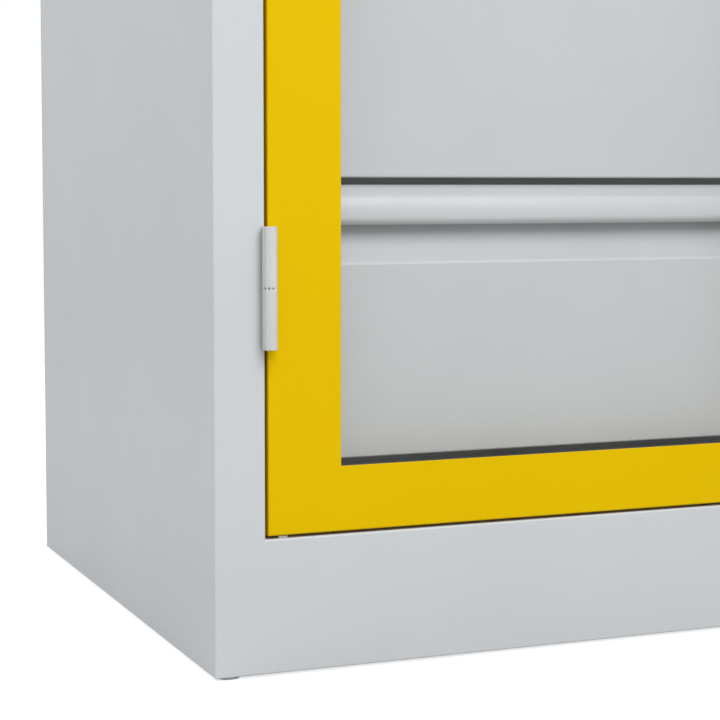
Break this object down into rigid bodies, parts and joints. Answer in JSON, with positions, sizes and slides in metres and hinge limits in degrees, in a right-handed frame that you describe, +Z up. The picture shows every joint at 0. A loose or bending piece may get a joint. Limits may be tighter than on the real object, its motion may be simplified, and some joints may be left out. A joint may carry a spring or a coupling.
{
  "type": "reagent drawer cabinet",
  "caption": "Double-walled steel cabinet with an inset glazed door on barrel hinges, a turning handle with lock rods, and drawers with full-width grips on telescopic runners.",
  "frame": {"origin": "centre of the overall box at floor level, under the feet", "axes": "+Z up, the door faces -Y, +X to the right when facing the door"},
  "size_m": [0.6, 0.5856, 0.9],
  "materials": {
    "body_paint": "light grey powder coat, satin, fine orange peel",
    "drawer_paint": "light grey powder coat, satin, fine orange peel",
    "inner_paint": "dark grey powder coat on the inner carcass",
    "door_paint": "signal yellow powder coat, satin",
    "pane": "clear safety pane",
    "hinge_metal": "pale grey coated fluted barrel",
    "zinc": "zinc-plated steel",
    "black_plastic": "black moulded plastic, fine texture",
    "seal_rubber": "black rubber",
    "pale_plastic": "light grey moulded plastic"
  },
  "bodies": {
    "cabinet": {"front_frame": "body_paint", "left_side_panel": "body_paint", "right_side_panel": "body_paint", "top_panel": "body_paint", "bottom_panel": "body_paint", "back_panel": "body_paint", "back_screws": "zinc", "foot_plates": "zinc", "foot_nuts": "zinc", "levelling_feet": "pale_plastic", "bay_left_wall": "inner_paint", "bay_right_wall": "inner_paint", "bay_floor": "inner_paint", "bay_ceiling": "inner_paint", "bay_cross_rails": "inner_paint", "door_buffers": "seal_rubber", "door_glide": "pale_plastic", "frame_hinge_halves": "hinge_metal", "hinge_pins": "zinc", "drawer_1_outer_rails": "zinc", "drawer_2_outer_rails": "zinc", "drawer_3_outer_rails": "zinc"},
    "door": {"door_pan": "door_paint", "door_inner_frame": "door_paint", "window_pane": "pane", "pane_gasket": "seal_rubber", "door_hinge_halves": "hinge_metal", "handle_plate": "black_plastic", "handle_plate_screws": "zinc", "lock_case": "zinc", "rod_guides": "black_plastic", "lock_barrel": "zinc"},
    "handle": {"handle_knob": "black_plastic", "handle_spindle": "zinc", "lock_pinion": "zinc"},
    "lock": {"lock_core": "zinc", "lock_cam": "zinc"},
    "upper_rod": {"upper_rod": "zinc"},
    "lower_rod": {"lower_rod": "zinc"},
    "drawer_1": {"drawer_1_front": "drawer_paint", "drawer_1_head": "drawer_paint", "drawer_1_grip": "drawer_paint", "drawer_1_tray": "drawer_paint", "drawer_1_inner_rails": "zinc", "drawer_1_screws": "zinc"},
    "drawer_1_runner": {"drawer_1_middle_rails": "zinc"},
    "drawer_2": {"drawer_2_front": "drawer_paint", "drawer_2_head": "drawer_paint", "drawer_2_grip": "drawer_paint", "drawer_2_tray": "drawer_paint", "drawer_2_inner_rails": "zinc", "drawer_2_screws": "zinc"},
    "drawer_2_runner": {"drawer_2_middle_rails": "zinc"},
    "drawer_3": {"drawer_3_front": "drawer_paint", "drawer_3_head": "drawer_paint", "drawer_3_grip": "drawer_paint", "drawer_3_tray": "drawer_paint", "drawer_3_inner_rails": "zinc", "drawer_3_screws": "zinc"},
    "drawer_3_runner": {"drawer_3_middle_rails": "zinc"}
  },
  "joints": [
    {"name": "door_hinge", "type": "hinge", "parent": "cabinet", "child": "door", "pos_m": [-0.259, -0.2648, 0.4814], "axis": [0, 0, -1], "range_deg": [0, 180]},
    {"name": "upper_rod_slide", "type": "slide", "parent": "door", "child": "upper_rod", "axis": [0, 0, 1], "range_m": [0, 0.01413]},
    {"name": "handle_turn", "type": "hinge", "parent": "door", "child": "handle", "pos_m": [0.231, -0.2588, 0.4814], "axis": [0, -1, 0], "range_deg": [0, 90]},
    {"name": "lock_turn", "type": "hinge", "parent": "door", "child": "lock", "pos_m": [0.231, -0.2588, 0.4294], "axis": [0, -1, 0], "range_deg": [0, 90]},
    {"name": "lower_rod_slide", "type": "slide", "parent": "door", "child": "lower_rod", "axis": [0, 0, -1], "range_m": [0, 0.0142]},
    {"name": "drawer_1_slide", "type": "slide", "parent": "cabinet", "child": "drawer_1", "axis": [0, -1, 0], "range_m": [0, 0.35]},
    {"name": "drawer_1_runner_slide", "type": "slide", "parent": "cabinet", "child": "drawer_1_runner", "axis": [0, -1, 0], "range_m": [0, 0.175]},
    {"name": "drawer_2_slide", "type": "slide", "parent": "cabinet", "child": "drawer_2", "axis": [0, -1, 0], "range_m": [0, 0.35]},
    {"name": "drawer_2_runner_slide", "type": "slide", "parent": "cabinet", "child": "drawer_2_runner", "axis": [0, -1, 0], "range_m": [0, 0.175]},
    {"name": "drawer_3_slide", "type": "slide", "parent": "cabinet", "child": "drawer_3", "axis": [0, -1, 0], "range_m": [0, 0.35]},
    {"name": "drawer_3_runner_slide", "type": "slide", "parent": "cabinet", "child": "drawer_3_runner", "axis": [0, -1, 0], "range_m": [0, 0.175]}
  ],
  "couplings": [
    {"joint": "handle_turn", "follows": "upper_rod_slide", "rad_per_m": 111.11},
    {"joint": "lower_rod_slide", "follows": "upper_rod_slide", "ratio": 1},
    {"joint": "drawer_1_slide", "follows": "door_hinge", "m_per_rad": 0.1114},
    {"joint": "drawer_1_runner_slide", "follows": "door_hinge", "m_per_rad": 0.0557},
    {"joint": "drawer_2_slide", "follows": "door_hinge", "m_per_rad": 0.1114},
    {"joint": "drawer_2_runner_slide", "follows": "door_hinge", "m_per_rad": 0.0557},
    {"joint": "drawer_3_slide", "follows": "door_hinge", "m_per_rad": 0.1114},
    {"joint": "drawer_3_runner_slide", "follows": "door_hinge", "m_per_rad": 0.0557}
  ]
}
